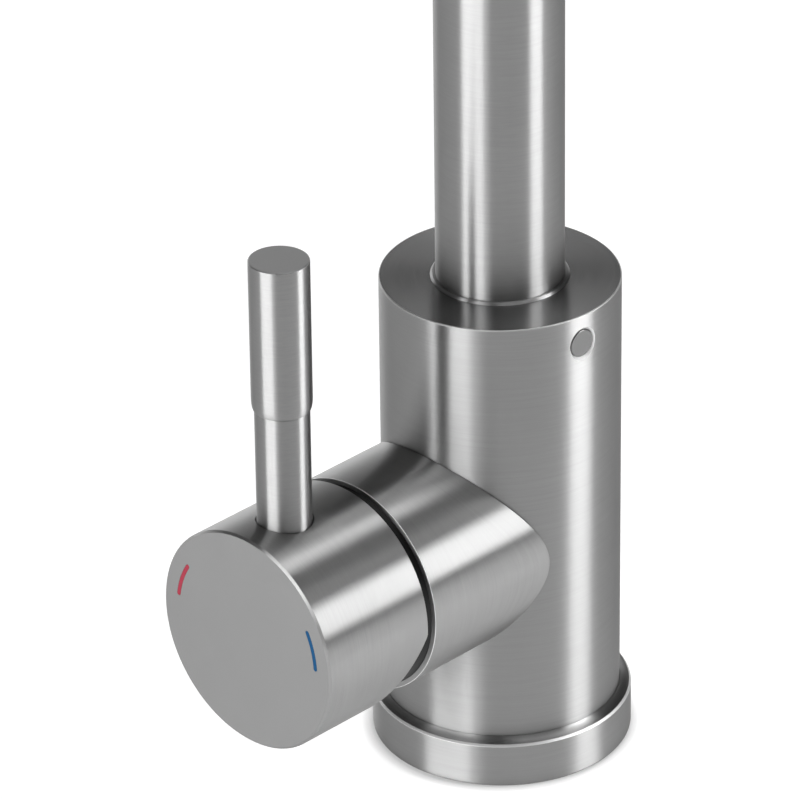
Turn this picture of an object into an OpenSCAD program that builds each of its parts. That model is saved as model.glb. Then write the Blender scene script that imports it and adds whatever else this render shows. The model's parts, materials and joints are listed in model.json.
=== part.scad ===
// Single lever kitchen mixer tap with a turning swan neck spout.
// Origin: centre of the base on the deck. +Z is up, +X points along the valve branch to the knob,
// and the spout points to -Y, towards the user. Everything is in millimetres.

/* [Body] */
// Radius of the body
body_r = 25; // [24.5:0.1:28]
// Wall of the body shell
shell_wall = 2.5; // [2:0.1:2.8]
// Thickness of the body shell's top
shell_top = 2.5; // [2:0.1:3]
// Chamfer round the body's top edge
shell_edge = 0.2; // [0.1:0.05:0.5]

/* [Base ring] */
// How far the base ring stands out round the body
ring_w = 2.45; // [2.2:0.05:6]
// Height of the base ring's rim
ring_h = 10.2; // [9.5:0.1:12]
// How far the hollowed top of the ring climbs from its rim to the body
ring_climb = 1; // [0.6:0.1:1.4]
// Bevel along the ring's upper rim
ring_bevel = 0.4; // [0.2:0.05:0.6]
// Rounding along the ring's lower edge
ring_toe = 0.9; // [0.5:0.1:1.5]
// Depth of the ring's seat for the body shell, below its rim
ring_seat = 2.4; // [1.5:0.1:3]
// Thickness of the ring's inner foot, which the core stands on
ring_foot = 3; // [2.5:0.1:4]
// Height of the core's foot above the deck
core_lift = 0.5; // [0.3:0.1:1]
// Radius of the opening in the ring's foot
ring_bore_r = 18.6; // [18:0.1:19.5]
// Width of the deck seal
seal_w = 4.4; // [3:0.1:5]
// Thickness of the deck seal
seal_t = 1.6; // [1.2:0.1:2]

/* [Valve branch] */
// Height of the branch's axis above the deck
valve_h = 52; // [48:0.5:56]
// Radius of the branch sleeve
branch_r = 23.3; // [23.2:0.05:23.8]
// Distance from the body's axis to the sleeve's rim
branch_reach = 43.8; // [43:0.1:47]
// Wall of the branch sleeve
branch_wall = 2; // [1.6:0.1:2.1]
// Width of the ledge left on the sleeve's rim round the dome cover
dome_ledge = 1; // [0.8:0.1:1.3]
// Wall of the dome cover
dome_wall = 1.2; // [0.8:0.1:1.6]
// Depth of the dome cover's skirt inside the sleeve
dome_skirt = 5.6; // [4:0.1:6.5]

/* [Knob] */
// Radius of the knob
knob_r = 23.85; // [23.6:0.05:24.5]
// Length of the knob
knob_len = 28.15; // [27:0.05:32]
// Gap between the sleeve's rim and the knob
knob_gap = 2.75; // [2.5:0.05:4]
// Bevel round the knob's face
knob_bevel = 0.45; // [0.2:0.05:0.8]
// Angle of the relief cut on the lower back of the knob
relief_angle = 28.5; // [27:0.5:32]
// Distance from the knob's axis down to the start of the relief cut
relief_drop = 1.35; // [0.5:0.05:3]
// Clearance between the knob's hollow and the dome cover
knob_clear = 1.2; // [1:0.1:1.6]
// Radius of the middle of the two coloured marks
mark_r = 19.75; // [16:0.05:21]
// Width of the coloured marks
mark_w = 0.9; // [0.6:0.05:1.4]
// Depth of the coloured marks
mark_t = 0.4; // [0.2:0.05:0.8]
// Angle of the hot mark's middle, from the lever towards the back
hot_angle = -69; // [-110:0.5:-45]
// Angle of the cold mark's middle, from the lever towards the back
cold_angle = 74.5; // [45:0.5:110]
// Angle that each mark covers
mark_sweep = 23; // [10:1:40]

/* [Lever] */
// Distance from the knob's face back to the lever's axis
lever_inset = 11.55; // [10.5:0.05:12.5]
// Radius of the lever's rod
rod_r = 5.63; // [5.3:0.01:5.9]
// Radius of the lever's grip
grip_r = 6.2; // [6:0.05:7.5]
// Height of the grip's lower edge above the knob's axis
grip_start = 49; // [40:0.5:60]
// Length of the grip
grip_len = 33.4; // [28:0.1:50]
// Height over which the grip's lower edge swells out
grip_swell = 2.6; // [1:0.1:5]
// Depth of the pocket in the knob for the rod's foot
rod_pocket = 1.2; // [0.8:0.1:1.5]
// Gap round the rod's foot in its pocket
rod_ring = 0.35; // [0.2:0.05:0.6]
// Radius of the thread that holds the rod
rod_thread_r = 3.4; // [3:0.1:4]
// Length of the thread that holds the rod
rod_thread_len = 8; // [6:0.1:9]
// Radius of the spigot that carries the grip
grip_spigot_r = 3.6; // [3:0.1:4.2]
// Length of the spigot that carries the grip
grip_spigot_len = 26; // [15:0.5:27]
// Radius of the set screw that clamps the knob
clamp_screw_r = 2.5; // [2:0.1:2.9]
// Length of the set screw that clamps the knob
clamp_screw_len = 5.5; // [4:0.1:6]

/* [Cartridge] */
// Distance from the sleeve's rim back to the tilt pivot
pivot_inset = 10.8; // [10.2:0.1:11.5]
// Largest tilt of the lever, in degrees
tilt_max = 24; // [15:0.5:24]
// Distance from the pivot to the ball on the stem's inner end
ball_arm = 12; // [11.5:0.1:12.5]
// Radius of the ball on the stem's inner end
ball_r = 3.2; // [2.8:0.05:3.3]
// Side of the square stem
stem_side = 7; // [6.4:0.1:7.1]
// Radius of the stem's neck behind the ball
stem_neck_r = 2.2; // [1.8:0.1:2.4]
// Gap between the disc carrier and the stem's square part
stem_gap = 1.8; // [1.5:0.1:2.5]
// Depth of the stem in the knob
stem_grip = 10; // [8:0.1:11]
// Radius of the pivot pin
pin_r = 1.8; // [1.5:0.05:2]
// Radius of the cartridge
cartridge_r = 17.35; // [17:0.05:17.5]
// Wall of the cartridge's body
cartridge_wall = 1.55; // [1.2:0.05:1.7]
// Thickness of the cartridge body's front wall
cartridge_front = 5; // [4:0.1:5.3]
// Thickness of the cartridge's base
cartridge_base_t = 5; // [4:0.1:5.5]
// Radius of the fixed disc
fixed_disc_r = 15.4; // [14:0.1:15.5]
// Thickness of the fixed disc
fixed_disc_t = 3.5; // [3:0.1:4]
// Radius of the moving disc
moving_disc_r = 12.6; // [12:0.1:12.8]
// Thickness of the moving disc
moving_disc_t = 3; // [2.6:0.1:3.4]
// Radius of the mixing pocket in the moving disc
mix_r = 7.2; // [6.5:0.1:7.5]
// Distance of the mixing pocket's middle below the moving disc's middle
mix_shift = 1.3; // [1:0.1:1.6]
// Depth of the mixing pocket in the moving disc
mix_depth = 1.6; // [1:0.1:2]
// Radius of the disc carrier
carrier_r = 9; // [8.5:0.1:9.5]
// Height of the disc carrier over the moving disc
carrier_t = 5.4; // [5:0.1:5.6]
// Distance between the disc carrier's two flats
carrier_flats = 16.4; // [16:0.1:16.6]
// Thickness of the spindle's drum
drum_t = 4.9; // [4.5:0.1:5.5]
// Radius of the spindle's neck
neck_r = 11.9; // [11.5:0.1:12.2]
// Distance from the pivot to the neck's outer end
neck_end = 4; // [3:0.1:5]
// Height of the slot through the spindle
slot_h = 18; // [17.4:0.1:19]
// Width of the spindle's two rails
rail_w = 3; // [2:0.1:3.2]
// Height of the spindle's two rails
rail_h = 16; // [12:0.5:17]

/* [Valve housing] */
// Thickness of the housing's floor
housing_floor = 5; // [4:0.1:5.5]
// Wall of the housing's nose under the dome cover's skirt
nose_wall = 1.3; // [1.1:0.05:1.5]
// Depth of the thread for the cartridge nut beyond the cartridge's radius
nut_thread = 1; // [0.8:0.05:1.2]
// Thickness of the cartridge nut's lip over the cartridge
nut_lip = 5.3; // [4.5:0.1:5.5]
// Length of the cartridge nut
nut_len = 7.6; // [7.2:0.1:8.5]
// Width of the notches in the cartridge nut
notch_w = 4; // [2:0.1:5]
// Depth of the notches in the cartridge nut
notch_depth = 2; // [1:0.1:2.5]

/* [Waterways] */
// Distance of the two supply inlets behind the body's axis
inlet_back = 6; // [5.6:0.1:6.5]
// Distance of each supply inlet from the middle plane
inlet_side = 7; // [6.6:0.1:7.4]
// Radius of the supply inlets' thread
inlet_r = 4.46; // [4.2:0.01:4.8]
// Length of the supply inlets' thread
inlet_len = 12; // [8:0.5:16]
// Radius of the two supply bores
feed_r = 3; // [2.7:0.1:3.2]
// Radius of the ports through the discs
port_r = 2.6; // [2.2:0.1:2.7]
// Height of the supply ports above the branch's axis
port_up = 5.5; // [5:0.1:6]
// Depth of the outlet port below the branch's axis
port_down = 6; // [5.5:0.1:6.5]
// Distance of the outlet bore behind the body's axis
outlet_back = 9.5; // [9.2:0.1:9.6]
// Radius of the outlet bore
outlet_r = 3.8; // [3.4:0.1:3.9]
// Radius of the seal rings round the ports
port_seal_r = 3.6; // [3.4:0.05:3.7]
// Thickness of the seal rings round the ports
port_seal_t = 1.1; // [0.9:0.05:1.2]

/* [Spout] */
// Radius of the spout tube
tube_r = 13.3; // [13:0.05:13.4]
// Wall of the spout tube
tube_wall = 1.5; // [1.2:0.1:1.8]
// Height of the start of the spout's bend above the body's top face
riser_len = 177.9; // [140:0.1:220]
// Radius of the spout's bend
bend_r = 97.5; // [80:0.5:115]
// Depth of the outlet below the start of the spout's bend
outlet_drop = 39; // [20:1:90]
// Depth of the spout's foot below the body's top face
tube_foot = 3.1; // [2.8:0.1:3.2]
// Length of the nipple's spigot inside the tube
spigot_len = 14; // [8:0.5:20]
// Wall of the nipple's spigot
nipple_wall = 2.25; // [1.8:0.05:2.5]
// How far the top bush stands out of the body
bush_lip = 0.5; // [0.3:0.05:0.8]
// Width of the top bush's lip round the tube
bush_w = 1.15; // [1:0.05:1.5]
// Wall of the top bush inside the body
bush_wall = 0.6; // [0.5:0.05:0.7]
// Material under the spout's socket
socket_wall = 3; // [2.5:0.1:3.2]
// Clearance between the nipple and its socket
socket_gap = 0.3; // [0.2:0.05:0.4]
// Thickness of the spout's seal rings
o_ring_t = 2.2; // [2:0.05:2.4]
// Width of the spout's glide rings
glide_w = 2.8; // [2.4:0.1:3.2]
// Thickness of the spout's glide rings
glide_t = 1.2; // [0.9:0.05:1.5]
// Wall left between the nipple's grooves for the rings
groove_wall = 2; // [1.2:0.1:2.6]
// Material between the upper glide ring and the groove that keeps the spout in
keeper_rise = 3.8; // [3.2:0.1:5]
// Width of the groove that keeps the spout in
keeper_w = 4.2; // [3.8:0.1:4.4]
// Depth of the groove that keeps the spout in
keeper_depth = 1.3; // [1:0.1:1.5]

/* [Aerator] */
// Height of the aerator's visible collar
collar_h = 8; // [6:0.1:12]
// Wall of the aerator's collar inside the tube
collar_wall = 1.1; // [0.9:0.1:1.3]
// Length of the aerator's thread inside the tube
collar_thread = 6; // [4:0.1:8]
// Thickness of the aerator's lower lip
collar_lip = 1.2; // [0.8:0.1:2]
// Height of the aerator's insert
insert_h = 7; // [5:0.1:9]
// Radius of the holes in the aerator's insert
insert_hole_r = 0.7; // [0.4:0.05:0.8]
// Thickness of the aerator's washer
washer_t = 1.6; // [1:0.1:2]
// Width of the aerator's washer
washer_w = 2.2; // [1.6:0.1:2.6]

/* [Spout screw] */
// Distance of the screw's axis below the body's top face
screw_drop = 6.6; // [6.3:0.05:6.8]
// Angle of the screw round the body, from the branch
screw_angle = 86; // [80:0.5:100]
// Radius of the screw's thread
screw_r = 2.5; // [2:0.1:2.6]
// Radius of the screw's tip
screw_tip_r = 1.7; // [1.3:0.1:1.8]
// Length of the screw's tip
screw_tip = 1.2; // [1:0.1:1.5]
// Depth of the screw's outer end below the core's surface
screw_sink = 1.9; // [1:0.1:3]
// Radius of the plug over the screw
plug_r = 3.02; // [2.9:0.01:3.2]
// Thickness of the plug over the screw
plug_t = 1.9; // [1.5:0.1:2]
// How far the plug's face lies below the body's surface
plug_recess = 0.35; // [0.2:0.05:0.5]
// Width of the countersink round the plug
plug_rim = 0.65; // [0.3:0.05:0.8]

/* [Fixings] */
// Thickness of the deck that the clamp is set for
deck_t = 20; // [5:1:40]
// Distance of the stud in front of the body's axis, towards the branch
stud_x = 12.5; // [12.4:0.1:13]
// Radius of the stud
stud_r = 4; // [3:0.1:4.2]
// Depth of the stud in the core
stud_depth = 14; // [10:0.5:20]
// Length of the stud below the deck
stud_drop = 56; // [52:1:80]
// Radius of the clamp plate
clamp_r = 24; // [22:0.5:28]
// Radius of the clamp plate's slot
clamp_slot_r = 12.4; // [12:0.1:12.8]
// Thickness of the clamp plate
clamp_t = 3; // [2:0.1:4]
// Thickness of the rubber under the deck
rubber_t = 2; // [1.5:0.1:4]
// Width across the nut's corners
nut_corners = 15; // [13:0.1:16]
// Height of the nut on the stud
stud_nut_h = 8; // [6:0.1:12]

/* [Fits] */
// Seam left between neighbouring outer pieces
seam = 0.08; // [0.05:0.01:0.12]
// Clearance of a piece slipped into another
slip = 0.15; // [0.12:0.01:0.2]
// Clearance of a close or threaded fit
close = 0.05; // [0.03:0.01:0.07]
// Clearance between the discs' sliding faces
film = 0.03; // [0.02:0.01:0.05]
// Clearance left where a piece moves past another
travel = 0.3; // [0.25:0.01:0.35]

/* [Hidden] */
$fn = 96;
// Overrun of the cuts past the faces that they open
over = 1;

// Height of the body's top face, set by what is stacked in it above the valve
branch_in_r = branch_r - branch_wall;
socket_h = valve_h + branch_in_r + socket_wall;
nipple_h = socket_h + travel;
screw_h = nipple_h + 4 * groove_wall + 2 * glide_w + 2 * o_ring_t + keeper_rise + keeper_w / 2;
body_h = screw_h + screw_drop;

// Body and base ring
shell_in_r = body_r - shell_wall;
core_r = shell_in_r - slip;
shell_foot_h = ring_h - ring_seat;
core_top = body_h - shell_top - slip;
ring_r = body_r + ring_w;
ring_lip_r = body_r + seam;
ring_edge_r = ring_r - ring_bevel;
ring_hollow_w = ring_edge_r - ring_lip_r;
ring_hollow_r = (pow(ring_hollow_w, 2) + pow(ring_climb, 2)) / (2 * ring_climb);
core_foot_r = ring_bore_r - slip;
seal_r = (ring_r + ring_bore_r) / 2;

// Places along the branch's axis, measured from the body's axis
pivot_x = branch_reach - pivot_inset;
ball_x = pivot_x - ball_arm;
carrier_x = ball_x - ball_r - travel;
moving_disc_x = carrier_x - moving_disc_t;
fixed_disc_x = moving_disc_x - film - fixed_disc_t;
base_x = fixed_disc_x - cartridge_base_t;
housing_x = base_x - housing_floor;
drum_x = carrier_x + carrier_t + travel;
drum_end_x = drum_x + drum_t;
front_wall_x = drum_end_x + slip;
front_x = front_wall_x + cartridge_front;
neck_x = pivot_x + neck_end;
knob_x = branch_reach + knob_gap;
face_x = knob_x + knob_len;
lever_x = face_x - lever_inset;

// Valve branch and housing
housing_r = branch_in_r - slip;
housing_in_r = cartridge_r + slip;
nut_r = housing_in_r + nut_thread;
nose_r = nut_r + close + nose_wall;
skirt_in_r = nose_r + close;
skirt_x = branch_reach - dome_skirt;
nose_x = skirt_x - travel;
nose_end_x = front_x + nut_len - travel;
nut_in_r = nut_r - nut_lip;
dome_r = norm([pivot_inset, branch_r - dome_ledge]);
knob_hollow_r = dome_r + knob_clear;

// Cartridge
cavity_r = cartridge_r - cartridge_wall;
drum_r = cavity_r - slip;
neck_bore_r = neck_r + close;
disc_travel = ball_arm * sin(tilt_max);
ball_hole_r = ball_r + slip;
rail_y = carrier_flats / 2 + slip;
slot_w = stem_side + 2 * slip;
stem_start_x = carrier_x + carrier_t + stem_gap;
stem_end_x = pivot_x + knob_hollow_r + stem_grip;
stem_reach = dome_r * cos(tilt_max);
dome_open_r = norm([stem_reach * tan(tilt_max) + stem_side / 2 / cos(tilt_max), stem_side / 2]);

// Lever
rod_foot_h = knob_r - rod_pocket;
grip_end = grip_start + grip_len;
screw_bore_top = rod_foot_h - rod_thread_len - travel;

// Spout
tube_in_r = tube_r - tube_wall;
foot_h = body_h - tube_foot;
nipple_r = tube_r - close;
socket_r = nipple_r + socket_gap;
spigot_r = tube_in_r - close;
nipple_in_r = spigot_r - nipple_wall;
glide_in_r = socket_r - close - glide_t;
o_ring_mid_r = socket_r - close - o_ring_t / 2;
bush_in_r = tube_r + close;
bush_r = bush_in_r + bush_wall;
bush_top_r = tube_r + bush_w;
bend_h = body_h + riser_len;
outlet_h = bend_h - outlet_drop;
outlet_y = -2 * bend_r;
leg_end = outlet_h + collar_h;
collar_in_r = tube_in_r - close - collar_wall;

// Spout screw, measured out from the body's axis
keeper_r = nipple_r - keeper_depth;
screw_x = keeper_r + travel;
screw_len = core_r - screw_sink - screw_x - screw_tip;
plug_face = body_r - plug_recess;

// Turns a profile of [radius, height] points about +Z
module lathe(profile) {
    rotate_extrude() polygon(profile);
}

// Puts a piece that is built along +Z on the branch's axis, with its foot at x
module on_branch(x) {
    translate([x, 0, valve_h]) rotate([0, 90, 0]) children();
}

// Puts a piece that is built along +Z on the spout screw's axis, pointing outwards
module on_screw(distance) {
    rotate([0, 0, screw_angle]) translate([distance, 0, screw_h]) rotate([0, 90, 0]) children();
}

module tube(outer, inner, height) {
    lathe([[inner, 0], [outer, 0], [outer, height], [inner, height]]);
}

// A seal ring of round section, lying flat with its foot at height zero
module o_ring(mid, thick) {
    translate([0, 0, thick / 2]) rotate_extrude() translate([mid, 0]) circle(d = thick, $fn = 32);
}

// The three ports on the branch's axis: two supplies above it and the outlet below
module at_ports() {
    for (side = [-1, 1]) translate([-port_up, side * inlet_side, 0]) children();
    translate([port_down, 0, 0]) children();
}

module ports(height) {
    at_ports() translate([0, 0, -over]) cylinder(r = port_r, h = height + 2 * over);
}

// Seats for the port seals in the rear face of a piece that starts at height zero
module seal_seats() {
    at_ports() translate([0, 0, -over]) cylinder(r = port_seal_r + port_seal_t, h = over + port_seal_t);
}

module seal_set() {
    at_ports() o_ring(port_seal_r, port_seal_t);
}

module base_ring() {
    arc = [for (i = [0:8]) ring_edge_r - ring_hollow_w * i / 8];
    hollow_h = [for (r = arc) ring_hollow_r - sqrt(pow(ring_hollow_r, 2) - pow(ring_edge_r - r, 2))];
    hollow = [for (i = [0:8]) [arc[i], ring_h + hollow_h[i]]];
    toe = [for (a = [-90:15:0]) [ring_r - ring_toe + ring_toe * cos(a), ring_toe + ring_toe * sin(a)]];
    color("silver") difference() {
        lathe(concat(
            [[ring_bore_r, 0]],
            toe,
            [[ring_r, ring_h - ring_bevel]],
            hollow,
            [
                [ring_lip_r, shell_foot_h],
                [shell_in_r, shell_foot_h],
                [shell_in_r, ring_foot],
                [ring_bore_r, ring_foot]
            ]
        ));
        translate([0, 0, -over]) tube(seal_r + seal_w / 2 + slip, seal_r - seal_w / 2 - slip, over + seal_t);
    }
}

module base_gasket() {
    color("dimgray") tube(seal_r + seal_w / 2, seal_r - seal_w / 2, seal_t);
}

module body_shell() {
    color("silver") difference() {
        lathe([
            [shell_in_r, shell_foot_h],
            [body_r, shell_foot_h],
            [body_r, body_h - shell_edge],
            [body_r - shell_edge, body_h],
            [bush_r + close, body_h],
            [bush_r + close, body_h - shell_top],
            [shell_in_r, body_h - shell_top]
        ]);
        on_branch(0) cylinder(r = branch_in_r, h = body_r + over);
        on_screw(shell_in_r - over) cylinder(r = plug_r + close, h = shell_wall + 2 * over);
        on_screw(body_r - plug_rim) cylinder(
            r1 = plug_r + close,
            r2 = plug_r + close + plug_rim + over,
            h = plug_rim + over
        );
    }
}

module valve_core() {
    color("darkgoldenrod") difference() {
        lathe([
            [0, core_lift],
            [core_foot_r, core_lift],
            [core_foot_r, ring_foot],
            [core_r, ring_foot],
            [core_r, core_top],
            [0, core_top]
        ]);
        translate([0, 0, socket_h]) cylinder(r = socket_r, h = core_top);
        on_branch(housing_x) cylinder(r = branch_in_r, h = core_r + body_r);
        supply_bores();
        outlet_bore();
        translate([stud_x, 0, 0]) cylinder(r = stud_r + close, h = core_lift + stud_depth);
        on_screw(0) cylinder(r = screw_r + close, h = body_r);
    }
}

module supply_bores() {
    top = valve_h + port_up;
    for (side = [-1, 1]) translate([-inlet_back, side * inlet_side, 0]) {
        cylinder(r = inlet_r, h = core_lift + inlet_len);
        cylinder(r = feed_r, h = top);
        translate([0, 0, top]) sphere(r = feed_r);
        translate([0, 0, top]) rotate([0, 90, 0]) cylinder(r = port_r, h = inlet_back + housing_x + over);
    }
}

module outlet_bore() {
    foot = valve_h - port_down;
    translate([-outlet_back, 0, foot]) {
        cylinder(r = outlet_r, h = socket_h - foot + over);
        sphere(r = outlet_r);
        rotate([0, 90, 0]) cylinder(r = port_r, h = outlet_back + housing_x + over);
    }
}

module branch_sleeve() {
    color("silver") difference() {
        on_branch(0) cylinder(r = branch_r, h = branch_reach);
        on_branch(0) cylinder(r = branch_in_r, h = branch_reach + over);
        cylinder(r = body_r + seam, h = body_h);
    }
}

module valve_housing() {
    length = nose_end_x - housing_x;
    color("goldenrod") on_branch(housing_x) difference() {
        lathe([
            [0, 0],
            [housing_r, 0],
            [housing_r, nose_x - housing_x],
            [nose_r, nose_x - housing_x],
            [nose_r, length],
            [nut_r + close, length],
            [nut_r + close, front_x - housing_x],
            [housing_in_r, front_x - housing_x],
            [housing_in_r, housing_floor],
            [0, housing_floor]
        ]);
        ports(housing_floor);
        seal_seats();
    }
}

module channel_seals() {
    color("black") on_branch(housing_x) seal_set();
}

module cartridge_base() {
    color("whitesmoke") on_branch(base_x) difference() {
        cylinder(r = cartridge_r, h = cartridge_base_t);
        ports(cartridge_base_t);
        seal_seats();
    }
}

module port_seals() {
    color("black") on_branch(base_x) seal_set();
}

module fixed_disc() {
    color("ivory") on_branch(fixed_disc_x) difference() {
        cylinder(r = fixed_disc_r, h = fixed_disc_t);
        ports(fixed_disc_t);
    }
}

module cartridge_body() {
    length = front_x - fixed_disc_x;
    color("whitesmoke") on_branch(fixed_disc_x) lathe([
        [cavity_r, 0],
        [cartridge_r, 0],
        [cartridge_r, length],
        [neck_bore_r, length],
        [neck_bore_r, length - cartridge_front],
        [cavity_r, length - cartridge_front]
    ]);
}

module cartridge_nut() {
    color("goldenrod") on_branch(front_x) difference() {
        lathe([
            [nut_in_r, 0],
            [nut_r, 0],
            [nut_r, nut_len],
            [nut_in_r + notch_depth / 2, nut_len]
        ]);
        for (turn = [0:90:270]) rotate([0, 0, turn]) translate([0, -notch_w / 2, nut_len - notch_depth])
            cube([nut_r + over, notch_w, notch_depth + over]);
    }
}

module dome_cover() {
    inner_r = dome_r - dome_wall;
    open_r = dome_open_r + travel;
    outside = [for (i = [0:10]) acos(pivot_inset / dome_r) * (1 - i / 10) + asin(open_r / dome_r) * i / 10];
    inside = [for (i = [0:8]) asin(open_r / inner_r) * (1 - i / 8) + asin(skirt_in_r / inner_r) * i / 8];
    color("gray") on_branch(pivot_x) lathe(concat(
        [
            [skirt_in_r, skirt_x - pivot_x],
            [branch_in_r - close, skirt_x - pivot_x],
            [branch_in_r - close, pivot_inset]
        ],
        [for (a = outside) [dome_r * sin(a), dome_r * cos(a)]],
        [for (a = inside) [inner_r * sin(a), inner_r * cos(a)]]
    ));
}

module cartridge_spindle() {
    color("white") difference() {
        union() {
            on_branch(drum_x) cylinder(r = drum_r, h = drum_t);
            on_branch(drum_end_x) cylinder(r = neck_r, h = neck_x - drum_end_x);
            for (side = [-1, 1]) translate([carrier_x + travel, side * (rail_y + rail_w / 2) - rail_w / 2, 0])
                translate([0, 0, valve_h - rail_h / 2]) cube([drum_x - carrier_x, rail_w, rail_h]);
        }
        translate([drum_x - over, -slot_w / 2, valve_h - slot_h / 2])
            cube([neck_x - drum_x + 2 * over, slot_w, slot_h]);
        pivot_cylinder(pin_r + close, 2 * drum_r);
    }
}

// A cylinder across the branch, on the tilt pivot's axis
module pivot_cylinder(radius, length) {
    translate([pivot_x, 0, valve_h]) rotate([90, 0, 0]) cylinder(r = radius, h = length, center = true);
}

module pivot_pin() {
    color("lightgray") pivot_cylinder(pin_r, 2 * (neck_r - travel) * cos(asin(pin_r / neck_r)));
}

module moving_disc() {
    color("ivory") on_branch(moving_disc_x) translate([disc_travel / 2, 0, 0]) difference() {
        cylinder(r = moving_disc_r, h = moving_disc_t);
        translate([mix_shift, 0, -over]) cylinder(r = mix_r, h = over + mix_depth);
    }
}

module disc_carrier() {
    color("white") on_branch(carrier_x) difference() {
        intersection() {
            cylinder(r = carrier_r, h = carrier_t);
            translate([-carrier_r, -carrier_flats / 2, 0]) cube([2 * carrier_r, carrier_flats, carrier_t]);
        }
        translate([0, 0, -over]) cylinder(r = ball_hole_r, h = carrier_t + 2 * over);
    }
}

module cartridge_stem() {
    color("lightgray") difference() {
        union() {
            translate([ball_x, 0, valve_h]) sphere(r = ball_r);
            on_branch(ball_x) cylinder(r = stem_neck_r, h = stem_start_x - ball_x + over);
            translate([stem_start_x, -stem_side / 2, valve_h - stem_side / 2])
                cube([stem_end_x - stem_start_x, stem_side, stem_side]);
        }
        pivot_cylinder(pin_r + close, 2 * stem_side);
    }
}

module knob() {
    color("silver") difference() {
        on_branch(knob_x) lathe([
            [0, 0],
            [knob_r, 0],
            [knob_r, knob_len - knob_bevel],
            [knob_r - knob_bevel, knob_len],
            [0, knob_len]
        ]);
        translate([pivot_x, 0, valve_h]) sphere(r = knob_hollow_r);
        relief_cut();
        stem_socket();
        lever_bores();
        for (angle = [hot_angle, cold_angle]) mark(angle, close, mark_t + close, mark_t + over);
    }
}

// The slanting cut that lets the knob's lower back swing in past the sleeve's rim
module relief_cut() {
    drop = knob_r + over;
    translate([knob_x, 0, valve_h - relief_drop]) rotate([90, 0, 0])
        linear_extrude(height = 2 * drop, center = true)
            polygon([[-over, 0], [0, 0], [drop * tan(relief_angle), -drop], [-over, -drop]]);
}

module stem_socket() {
    side = stem_side + 2 * close;
    translate([pivot_x, -side / 2, valve_h - side / 2]) cube([stem_end_x + travel - pivot_x, side, side]);
}

module lever_bores() {
    translate([lever_x, 0, valve_h]) {
        cylinder(r = clamp_screw_r + close, h = knob_r);
        translate([0, 0, screw_bore_top]) cylinder(r = rod_thread_r + close, h = knob_r);
        translate([0, 0, rod_foot_h]) cylinder(r = rod_r + rod_ring, h = knob_r);
    }
}

// One coloured mark in the knob's face: an arc with round ends
module mark(angle, grow, depth, height) {
    on_branch(face_x - depth) rotate([0, 0, 180 - angle])
        linear_extrude(height = height) polygon(mark_outline(mark_w / 2 + grow, mark_sweep / 2));
}

// The outline of a mark that is two halves wide and covers a turn to either side
function mark_outline(half, turn) = concat(
    [for (i = [-8:8]) (mark_r + half) * compass(turn * i / 8)],
    [for (a = [15:15:165]) mark_r * compass(turn) + half * compass(turn + a)],
    [for (i = [8:-1:-8]) (mark_r - half) * compass(turn * i / 8)],
    [for (a = [195:15:345]) mark_r * compass(-turn) + half * compass(a - turn)]
);

// The direction at an angle, as a unit vector
function compass(angle) = [cos(angle), sin(angle)];

module hot_mark() {
    color("crimson") mark(hot_angle, 0, mark_t, mark_t);
}

module cold_mark() {
    color("steelblue") mark(cold_angle, 0, mark_t, mark_t);
}

module knob_set_screw() {
    color("dimgray") translate([lever_x, 0, valve_h + stem_side / 2 + close])
        cylinder(r = clamp_screw_r, h = clamp_screw_len);
}

module lever_rod() {
    color("silver") translate([lever_x, 0, valve_h]) lathe([
        [0, rod_foot_h - rod_thread_len],
        [rod_thread_r, rod_foot_h - rod_thread_len],
        [rod_thread_r, rod_foot_h],
        [rod_r, rod_foot_h],
        [rod_r, grip_start],
        [grip_spigot_r, grip_start],
        [grip_spigot_r, grip_start + grip_spigot_len],
        [0, grip_start + grip_spigot_len]
    ]);
}

module lever_grip() {
    swell = [for (a = [0:15:90]) [
        rod_r + (grip_r - rod_r) * sin(a),
        grip_start + grip_swell * (1 - cos(a))
    ]];
    bore_r = grip_spigot_r + close;
    bore_end = grip_start + grip_spigot_len + travel;
    color("silver") translate([lever_x, 0, valve_h]) lathe(concat(
        [[bore_r, grip_start]],
        swell,
        [[grip_r, grip_end], [0, grip_end], [0, bore_end], [bore_r, bore_end]]
    ));
}

module top_bush() {
    color("lightgray") lathe([
        [bush_in_r, body_h - shell_top],
        [bush_r, body_h - shell_top],
        [bush_r, body_h],
        [bush_top_r, body_h],
        [bush_top_r - bush_lip, body_h + bush_lip],
        [bush_in_r, body_h + bush_lip]
    ]);
}

module spout_tube() {
    color("silver") {
        difference() {
            union() {
                translate([0, 0, foot_h]) cylinder(r = tube_r, h = bend_h - foot_h);
                spout_bend(tube_r);
                translate([0, outlet_y, leg_end]) cylinder(r = tube_r, h = bend_h - leg_end);
            }
            translate([0, 0, foot_h - over]) cylinder(r = tube_in_r, h = bend_h - foot_h + over);
            spout_bend(tube_in_r);
            translate([0, outlet_y, leg_end - over]) cylinder(r = tube_in_r, h = bend_h - leg_end + over);
        }
    }
}

// The half turn at the top of the spout
module spout_bend(radius) {
    translate([0, -bend_r, bend_h]) rotate([90, 0, 90]) rotate_extrude(angle = 180)
        translate([bend_r, 0]) circle(r = radius);
}

// Heights of the nipple's grooves: a glide ring, two seal rings and another glide ring
function glide_heights() = [nipple_h + groove_wall, nipple_h + 4 * groove_wall + glide_w + 2 * o_ring_t];
function o_ring_heights() = [
    for (i = [0:1]) nipple_h + glide_w + 2 * groove_wall + i * (o_ring_t + groove_wall)
];

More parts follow.
